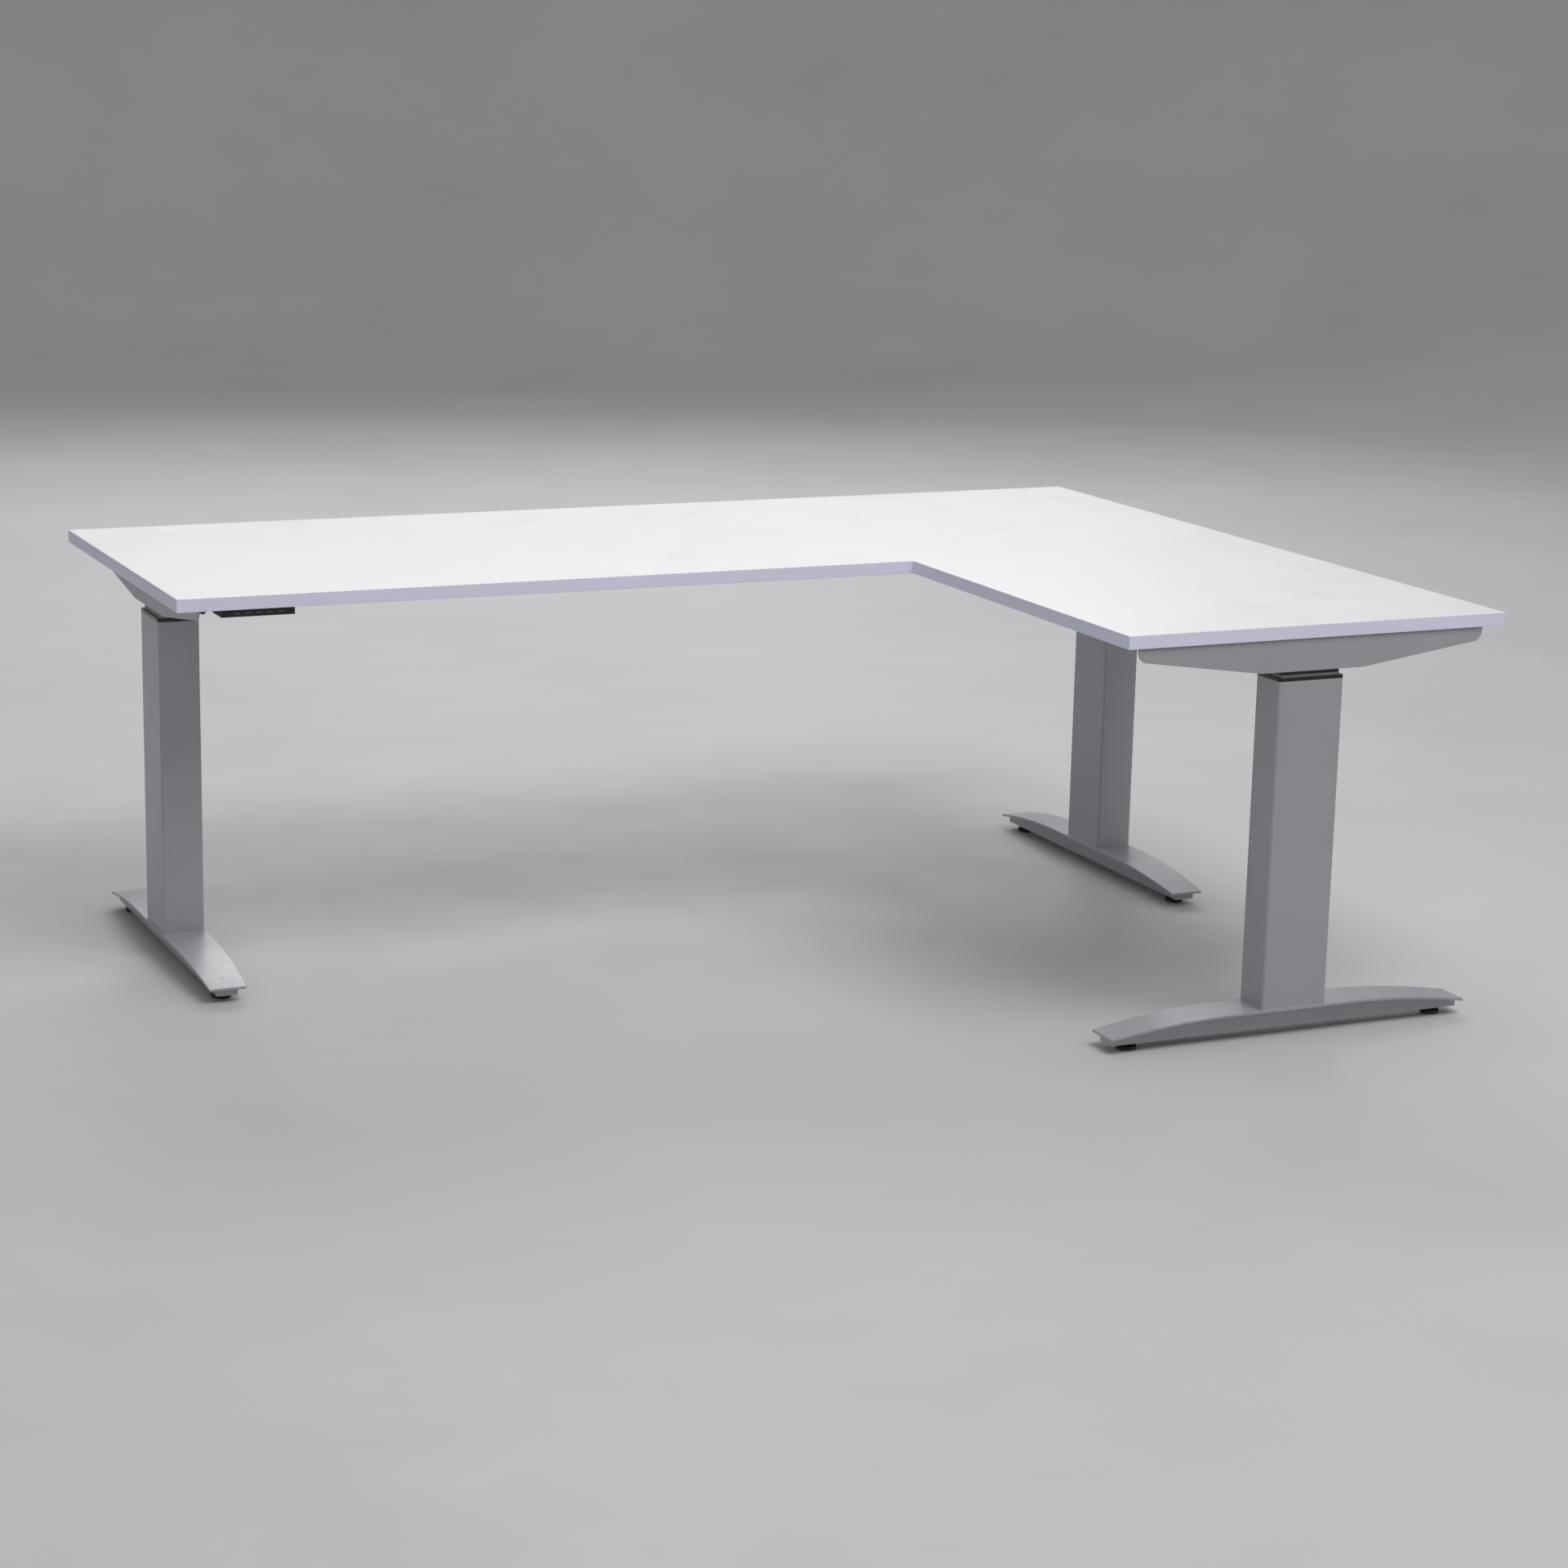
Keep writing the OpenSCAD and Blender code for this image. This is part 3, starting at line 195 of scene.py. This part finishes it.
class Finish:
    """A material being built: it keeps the node tree and places nodes in it."""

    def __init__(self, name):
        self.material = bpy.data.materials.new(name)
        self.material.use_nodes = True
        self.tree = self.material.node_tree
        self.shader = self.tree.nodes["Principled BSDF"]
        self.place = self.tree.nodes.new("ShaderNodeTexCoord").outputs["Object"]

    def node(self, kind, **settings):
        made = self.tree.nodes.new(kind)
        for key, value in settings.items():
            setattr(made, key, value)
        return made

    def join(self, source, target):
        self.tree.links.new(source, target)

    def stretched(self, scale):
        """Object coordinates with a scale of their own on each axis."""
        mapping = self.node("ShaderNodeMapping")
        mapping.inputs["Scale"].default_value = scale
        self.join(self.place, mapping.inputs["Vector"])
        return mapping.outputs["Vector"]

    def noise(self, scale, detail=2.0, rough=0.5, along=None):
        made = self.node("ShaderNodeTexNoise")
        made.inputs["Scale"].default_value = scale
        made.inputs["Detail"].default_value = detail
        made.inputs["Roughness"].default_value = rough
        self.join(along or self.place, made.inputs["Vector"])
        return made.outputs["Fac"]

    def remap(self, value, low, high, to_low=0.0, to_high=1.0):
        made = self.node("ShaderNodeMapRange")
        ends = {"From Min": low, "From Max": high, "To Min": to_low, "To Max": to_high}
        for key, number in ends.items():
            made.inputs[key].default_value = number
        self.join(value, made.inputs["Value"])
        return made.outputs["Result"]

    def maths(self, how, a, b):
        made = self.node("ShaderNodeMath", operation=how)
        for socket, value in zip(made.inputs, (a, b)):
            if isinstance(value, (int, float)):
                socket.default_value = value
            else:
                self.join(value, socket)
        return made.outputs[0]

    def mix(self, share, low, high):
        """low where share is 0, high where it is 1; each is a colour or a socket."""
        made = self.node("ShaderNodeMix", data_type="RGBA")
        for socket, value in zip((made.inputs[6], made.inputs[7]), (low, high)):
            if isinstance(value, tuple):
                socket.default_value = (*value, 1.0)
            else:
                self.join(value, socket)
        self.join(share, made.inputs[0])
        return made.outputs[2]

    def edges(self, radius):
        """1 on outer and inner edges, 0 on flat faces, and the rounded direction itself."""
        rounded = self.node("ShaderNodeBevel", samples=BEVEL_SAMPLES)
        rounded.inputs["Radius"].default_value = radius
        true = self.node("ShaderNodeNewGeometry")
        turn = self.node("ShaderNodeVectorMath", operation="DOT_PRODUCT")
        self.join(rounded.outputs["Normal"], turn.inputs[0])
        self.join(true.outputs["Normal"], turn.inputs[1])
        off = self.maths("SUBTRACT", 1.0, turn.outputs["Value"])
        mask = self.maths("MINIMUM", self.maths("MULTIPLY", off, EDGE_SHARPNESS), 1.0)
        return mask, rounded.outputs["Normal"]

    def bump(self, height, depth, strength=1.0, normal=None):
        made = self.node("ShaderNodeBump")
        made.inputs["Strength"].default_value = strength
        made.inputs["Distance"].default_value = depth
        self.join(height, made.inputs["Height"])
        if normal is not None:
            self.join(normal, made.inputs["Normal"])
        self.join(made.outputs["Normal"], self.shader.inputs["Normal"])

    def finish(self, colour, roughness, metallic=0.0, coat=0.0, specular=0.5):
        self.join(colour, self.shader.inputs["Base Color"])
        self.join(roughness, self.shader.inputs["Roughness"])
        self.shader.inputs["Metallic"].default_value = metallic
        self.shader.inputs["Coat Weight"].default_value = coat
        self.shader.inputs["Coat Roughness"].default_value = COAT_ROUGHNESS
        self.shader.inputs["Specular IOR Level"].default_value = specular
        return self.material


def coat_nodes(material, names):
    """Puts a finish on CAD pieces, in every slot that they have."""
    for name in names:
        slots = nodes[name].material_slots
        if not slots:
            nodes[name].data.materials.append(material)
        for slot in slots:
            slot.material = material
    print(material.name, "on", len(names), "pieces")


def named(*starts):
    """The CAD pieces whose names start with one of these words."""
    return [name for name in nodes if name.startswith(starts)]


# %% [markdown]
# ## White melamine
# The board's faces are a printed paper pressed in resin: almost flat, with a fine pearl grain and
# a low sheen. A slow noise keeps the white from being one dead number, and a faint smudge noise
# sits in the roughness only, where hands and cleaning cloths leave it. The rim, where the face
# meets the tape, is knocked in places and collects a little grey.

# %% Desktop board
board = Finish("white_melamine")
cloudy = board.noise(2.2, 3.0)
grain = board.noise(1500.0, 2.0, 0.6)
white = board.mix(board.remap(cloudy, 0.3, 0.7), (0.770, 0.772, 0.776), (0.798, 0.798, 0.798))
white = board.mix(board.remap(grain, 0.35, 0.9, 0.0, 0.10), white, (0.70, 0.70, 0.71))
rim, rim_normal = board.edges(0.8 * MM)
knocks = board.remap(board.noise(45.0, 4.0), 0.45, 0.65, 0.15, 0.6)
white = board.mix(board.maths("MULTIPLY", rim, knocks), white, (0.58, 0.58, 0.59))
smudge = board.remap(board.noise(9.0, 5.0, 0.65), 0.3, 0.75, 0.34, 0.47)
board.bump(grain, 0.00006, 0.5, rim_normal)
coat_nodes(board.finish(white, smudge, specular=0.42), ["desktop_board"])

# %% [markdown]
# ## Edging tape
# The tape is extruded plastic, so it has very fine lines along its length, and its two arrises are
# scraped round after gluing; a painted highlight makes them paler. The lines come from a noise
# stretched along the floor plane; the painted arris highlight is a mask on height, measured from
# the tape's own box.

# %% Edge banding
tape = Finish("grey_edge_tape")
tape_low, tape_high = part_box("edge_banding")
tape_mid = (tape_low.z + tape_high.z) / 2
tape_half = (tape_high.z - tape_low.z) / 2
ARRIS = 1.3 * MM
height = tape.node("ShaderNodeSeparateXYZ")
tape.join(tape.place, height.inputs["Vector"])
off_middle = tape.maths("ABSOLUTE", tape.maths("SUBTRACT", height.outputs["Z"], tape_mid), 0.0)
# painted highlight: a paler line along the top and the bottom arris of the tape
arris_highlight = tape.remap(off_middle, tape_half - ARRIS, tape_half - ARRIS * 0.6)
lines = tape.noise(1.0, 3.0, 0.6, along=tape.stretched((6.0, 6.0, 2600.0)))
shade = tape.mix(tape.remap(tape.noise(3.0, 2.0), 0.3, 0.7), (0.79, 0.79, 0.95), (0.83, 0.83, 0.99))
shade = tape.mix(tape.remap(lines, 0.3, 0.75, 0.0, 0.22), shade, (0.69, 0.69, 0.84))
# painted highlight: the arrises are mixed towards near white
shade = tape.mix(tape.maths("MULTIPLY", arris_highlight, 0.85), shade, (0.88, 0.88, 0.92))
tape.bump(lines, 0.00005, 0.6)
tape_rough = tape.remap(tape.noise(40.0, 4.0), 0.3, 0.7, 0.38, 0.50)
coat_nodes(tape.finish(shade, tape_rough, specular=0.4), ["edge_banding"])

# %% [markdown]
# ## Silver powder coat
# Powder coat melts into a skin with a fine orange-peel texture and carries small metal flakes. Its
# sharp edges get a painted highlight, a lighter line along every edge, and they are the first to be
# rubbed. Tubes, arms, beams and feet all come out of the same oven, so they share one finish, with
# slow shade changes that differ from piece to piece because the noise is in frame coordinates.

# %% Columns, arms, beams and feet
coat = Finish("silver_powder_coat")
peel = coat.noise(900.0, 2.0, 0.55)
flake = coat.noise(3200.0, 1.0)
slow = coat.noise(3.5, 3.0)
edge, rounded = coat.edges(1.0 * MM)
silver = coat.mix(coat.remap(slow, 0.3, 0.7), (0.365, 0.360, 0.388), (0.405, 0.400, 0.430))
silver = coat.mix(coat.remap(flake, 0.45, 0.8, 0.0, 0.35), silver, (0.56, 0.56, 0.58))
# painted highlight: every edge of the coat is made lighter, a steady line where light catches it
silver = coat.mix(coat.maths("MULTIPLY", edge, 0.45), silver, (0.62, 0.62, 0.64))
worn = coat.maths("MULTIPLY", edge, coat.remap(coat.noise(160.0, 4.0), 0.62, 0.72))
silver = coat.mix(coat.maths("MULTIPLY", worn, 0.6), silver, (0.70, 0.70, 0.70))
coat_rough = coat.remap(coat.noise(60.0, 3.0), 0.3, 0.7, 0.40, 0.50)
coat.bump(peel, 0.00010, 0.35, rounded)
steel_pieces = named("outer_tube", "middle_tube", "inner_tube", "arm_")
steel_pieces += ["foot_left", "foot_right", "foot_return"]
steel_pieces += ["main_beam", "return_beam"]
silver_coat = coat.finish(silver, coat_rough, metallic=0.12, coat=0.5, specular=0.45)
coat_nodes(silver_coat, steel_pieces)

# %% [markdown]
# ## Black plastics
# The guide rings are injection moulded and rubbed bright by the tube that slides in them. The
# cases of the handset and the control box have a fine spark-eroded grain. The glides are scuffed
# by the floor. One recipe covers them all, with its own grain, gloss and scuffs for each.

# %% Rings, cases, glides and keys


def moulded_plastic(name, dark, light, grain_size, grain_depth, gloss, scuff):
    """Moulded plastic: grain_size in grains to the metre, gloss as (polished, dull) roughness."""
    plastic = Finish(name)
    fine = plastic.noise(grain_size, 2.0, 0.6)
    edge_mask, soft = plastic.edges(0.6 * MM)
    shade_of = plastic.mix(plastic.remap(plastic.noise(25.0, 3.0), 0.3, 0.7), dark, light)
    paler = tuple(min(1.0, c * 1.6 + 0.03) for c in light)
    rub = plastic.remap(plastic.noise(220.0, 5.0, 0.7), 0.55, 0.75, 0.0, scuff)
    wear = plastic.maths("MAXIMUM", plastic.maths("MULTIPLY", edge_mask, 0.35), rub)
    shade_of = plastic.mix(wear, shade_of, paler)
    rough = plastic.remap(plastic.noise(90.0, 4.0), 0.3, 0.7, *gloss)
    plastic.bump(fine, grain_depth, 0.5, soft)
    return plastic.finish(shade_of, rough)


ring_black = moulded_plastic("ring_black", (0.008, 0.008, 0.009), (0.014, 0.014, 0.016),
                             700, 0.00003, (0.18, 0.30), 0.05)
case_black = moulded_plastic("case_black", (0.010, 0.010, 0.011), (0.018, 0.018, 0.020),
                             1800, 0.00010, (0.38, 0.50), 0.04)
glide_black = moulded_plastic("glide_black", (0.016, 0.016, 0.016), (0.030, 0.030, 0.030),
                              900, 0.00012, (0.50, 0.70), 0.25)
key_grey = moulded_plastic("key_grey", (0.030, 0.031, 0.034), (0.045, 0.046, 0.050),
                           2200, 0.00006, (0.35, 0.45), 0.05)
nut_white = moulded_plastic("nut_white", (0.62, 0.60, 0.53), (0.70, 0.68, 0.61),
                            800, 0.00008, (0.35, 0.50), 0.10)
coat_nodes(ring_black, named("outer_rings", "middle_ring", "middle_shoe", "inner_shoes"))
coat_nodes(case_black, ["handset_case", "control_box", "control_box_cover", "mains_inlet", "cable_clip"])
coat_nodes(glide_black, named("glide_"))
coat_nodes(key_grey, named("key_"))
coat_nodes(nut_white, ["lift_nuts"])

# %% [markdown]
# ## Bright steel, zinc and enamel
# The lift screws are turned and ground steel with a film of grease: their thread is shown as fine
# ridges in the bump. Bolts and screws are zinc plated, a little blotchy. The motors are enamelled.

# %% Screw drive, fasteners and motors
RINGS_PER_SCALE = 3.1831
THREAD_DEPTH = 0.4 * MM
GRIND_DEPTH = 0.04 * MM


def plain_metal(name, dark, light, blotch, gloss, metallic, ridges=0.0):
    """A bare or painted metal; ridges is the number of turned rings to the metre, 0 for none."""
    metal = Finish(name)
    edge_mask, soft = metal.edges(0.4 * MM)
    tone = metal.mix(metal.remap(metal.noise(blotch, 4.0, 0.6), 0.3, 0.7), dark, light)
    brighter = tuple(min(1.0, c * 1.3) for c in light)
    tone = metal.mix(metal.maths("MULTIPLY", edge_mask, 0.5), tone, brighter)
    fine = metal.noise(1200.0, 3.0, 0.6)
    if ridges:
        wave = metal.node("ShaderNodeTexWave", wave_type="BANDS", bands_direction="Z")
        wave.inputs["Scale"].default_value = ridges / RINGS_PER_SCALE
        metal.join(metal.place, wave.inputs["Vector"])
        fine = metal.maths("ADD", metal.maths("MULTIPLY", fine, 0.2), wave.outputs["Fac"])
    metal.bump(fine, THREAD_DEPTH if ridges else GRIND_DEPTH, 0.5, soft)
    rough = metal.remap(metal.noise(80.0, 4.0), 0.3, 0.7, *gloss)
    return metal.finish(tone, rough, metallic=metallic)


screw_steel = plain_metal("greased_screw_steel", (0.42, 0.41, 0.39), (0.55, 0.55, 0.54),
                          40, (0.22, 0.36), 1.0, ridges=250)
zinc = plain_metal("zinc_plate", (0.50, 0.51, 0.52), (0.62, 0.62, 0.61),
                   300, (0.28, 0.42), 1.0)
enamel = plain_metal("motor_enamel", (0.060, 0.063, 0.068), (0.085, 0.088, 0.094),
                     20, (0.30, 0.42), 0.2)
coat_nodes(screw_steel, named("base_screws", "hollow_screw", "drive_tube"))
coat_nodes(zinc, ["foot_bolts", "head_bolts", "beam_bolts", "board_screws"])
coat_nodes(enamel, named("motor_"))

# %% [markdown]
# ## Circuit boards
# Green solder mask over copper: the tracks show as a faint lighter net. A Voronoi edge distance
# makes that net, and a slow noise makes the mask pool. The sawn edges show the bare laminate.

# %% Circuit boards
circuit = Finish("solder_mask_green")
net = circuit.node("ShaderNodeTexVoronoi", feature="DISTANCE_TO_EDGE")
net.inputs["Scale"].default_value = 260.0
circuit.join(circuit.place, net.inputs["Vector"])
track = circuit.remap(net.outputs["Distance"], 0.02, 0.06, 1.0, 0.0)
pools = circuit.remap(circuit.noise(30.0, 3.0), 0.3, 0.7)
green = circuit.mix(pools, (0.018, 0.085, 0.032), (0.028, 0.120, 0.045))
green = circuit.mix(circuit.maths("MULTIPLY", track, 0.5), green, (0.06, 0.20, 0.08))
cut, cut_normal = circuit.edges(0.3 * MM)
green = circuit.mix(circuit.maths("MULTIPLY", cut, 0.6), green, (0.34, 0.33, 0.20))
circuit.bump(track, 0.00005, 0.4, cut_normal)
gloss = circuit.remap(circuit.noise(70.0, 3.0), 0.3, 0.7, 0.22, 0.34)
coat_nodes(circuit.finish(green, gloss), ["control_board", "handset_board"])

# %% [markdown]
# ## Floor finish
# A pale matt floor, with the slightest unevenness so that the light on it isn't a flat fill.

# %% Floor finish
lino = Finish("pale_floor")
pale = lino.mix(lino.remap(lino.noise(1.2, 4.0), 0.3, 0.7), (0.56, 0.56, 0.57), (0.60, 0.60, 0.605))
lino.bump(lino.noise(500.0, 3.0), 0.0002, 0.2)
matt = lino.remap(lino.noise(5.0, 3.0), 0.3, 0.7, 0.6, 0.75)
floor.data.materials.append(lino.finish(pale, matt))

# %% [markdown]
# ## Weld beads
# Each tube is welded all round to the plate in its lower end, and that plate is bolted to the
# foot. The bead is a thin ring just above the foot. It starts as one flat face with rounded
# corners, a grid face whose corners are bevelled. Insetting it makes the ring: a lone face has
# only open edges, so the inset must be told to use them, or it makes nothing. The middle is
# removed, the inner edge is lifted against the tube, and the ring is given a thickness. An empty
# piece stops the script here.

# %% Weld beads
BEAD_OUT = 1.6 * MM
BEAD_UP = 1.8 * MM
BEAD_IN = 0.2 * MM
BEAD_THICK = 0.5 * MM
BEAD_STEPS = 8
TUBE_CORNER = 5.0 * MM


def add_piece(name, made, material, body):
    """A finished bmesh becomes a piece that rides on a body."""
    bmesh.ops.recalc_face_normals(made, faces=made.faces)
    mesh = bpy.data.meshes.new(name)
    made.to_mesh(mesh)
    made.free()
    for polygon in mesh.polygons:
        polygon.use_smooth = True
    mesh.materials.append(material)
    piece = bpy.data.objects.new(name, mesh)
    bpy.context.collection.objects.link(piece)
    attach(piece, body)
    return piece


def weld_bead(name, tube, foot_top):
    low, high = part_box(tube)
    half = Vector(((high.x - low.x) / 2 + BEAD_OUT, (high.y - low.y) / 2 + BEAD_OUT, 1.0))
    middle = Vector(((low.x + high.x) / 2, (low.y + high.y) / 2, foot_top))
    bead = bmesh.new()
    bmesh.ops.create_grid(bead, x_segments=1, y_segments=1, size=1.0)
    bmesh.ops.scale(bead, vec=half, verts=bead.verts)
    bmesh.ops.bevel(bead, geom=bead.verts[:], offset=TUBE_CORNER + BEAD_OUT, segments=BEAD_STEPS,
                    profile=0.5, affect="VERTICES", material=-1)
    inner = bead.faces[:]
    bmesh.ops.inset_region(bead, faces=inner, thickness=BEAD_OUT + BEAD_IN,
                           use_boundary=True, use_even_offset=True)
    lifted = inner[0].verts[:]
    bmesh.ops.delete(bead, geom=inner, context="FACES_ONLY")
    bmesh.ops.translate(bead, vec=(0, 0, BEAD_UP), verts=lifted)
    bmesh.ops.recalc_face_normals(bead, faces=bead.faces)
    bmesh.ops.solidify(bead, geom=bead.faces[:], thickness=BEAD_THICK)
    bmesh.ops.translate(bead, vec=middle, verts=bead.verts)
    bmesh.ops.recalc_face_normals(bead, faces=bead.faces)
    return add_piece(name, in_fixed_order(bead), silver_coat, "base")


foot_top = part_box("foot_left")[1].z
for side in ("left", "right", "return"):
    made = weld_bead("weld_bead_" + side, "outer_tube_" + side, foot_top)
    assert len(made.data.polygons) > 0, made.name + " is empty"
    print(made.name, "faces", len(made.data.polygons))

# %% [markdown]
# ## Key marks
# The handset's keys are marked with two arrows and three numbers, printed in grey. A print has
# almost no thickness: each mark is a flat shape less than a tenth of a millimetre thick, which sits
# on the key and moves with it. An arrow is a three-sided bmesh circle, and a number is a font curve
# made into a mesh.

# %% Key marks
PRINT = 0.08 * MM
MARK = 2.6 * MM
NUMBER_SIZE = MARK * 1.35
WELD_DIST = 0.001 * MM
print_grey = moulded_plastic("print_grey", (0.22, 0.22, 0.23), (0.27, 0.27, 0.28),
                             2000, 0.00002, (0.45, 0.60), 0.08)


def key_face(key):
    """The middle of a key's front face."""
    low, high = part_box(key)
    return Vector(((low.x + high.x) / 2, low.y, (low.z + high.z) / 2))


def arrow_mark(key, points_up):
    mark = bmesh.new()
    bmesh.ops.create_circle(mark, cap_ends=True, segments=3, radius=MARK / 2)
    stand = Matrix.Rotation(math.radians(90), 4, "X")
    turn = Matrix.Rotation(0.0 if points_up else math.pi, 4, "Y")
    bmesh.ops.transform(mark, matrix=turn @ stand, verts=mark.verts)
    pushed = bmesh.ops.extrude_face_region(mark, geom=mark.faces[:])["geom"]
    corners = [item for item in pushed if isinstance(item, bmesh.types.BMVert)]
    bmesh.ops.translate(mark, vec=(0, -PRINT, 0), verts=corners)
    bmesh.ops.translate(mark, vec=key_face(key), verts=mark.verts)
    return add_piece("mark_" + key, mark, print_grey, key)


def number_mark(key, digit):
    curve = bpy.data.curves.new("mark_" + key, "FONT")
    curve.body = digit
    curve.size = NUMBER_SIZE
    curve.align_x = "CENTER"
    curve.align_y = "CENTER"
    curve.extrude = PRINT / 2
    holder = bpy.data.objects.new("number", curve)
    bpy.context.collection.objects.link(holder)
    bpy.context.view_layer.update()
    solved = holder.evaluated_get(bpy.context.evaluated_depsgraph_get())
    flat = bpy.data.meshes.new_from_object(solved)
    mark = bmesh.new()
    mark.from_mesh(flat)
    bpy.data.objects.remove(holder)
    bpy.data.meshes.remove(flat)
    bmesh.ops.remove_doubles(mark, verts=mark.verts, dist=WELD_DIST)
    bmesh.ops.transform(mark, matrix=Matrix.Rotation(math.radians(90), 4, "X"), verts=mark.verts)
    bmesh.ops.translate(mark, vec=key_face(key) - Vector((0, PRINT / 2, 0)), verts=mark.verts)
    return add_piece("mark_" + key, mark, print_grey, key)


arrow_mark("key_down", False)
arrow_mark("key_up", True)
for digit in "123":
    number_mark("key_" + digit, digit)
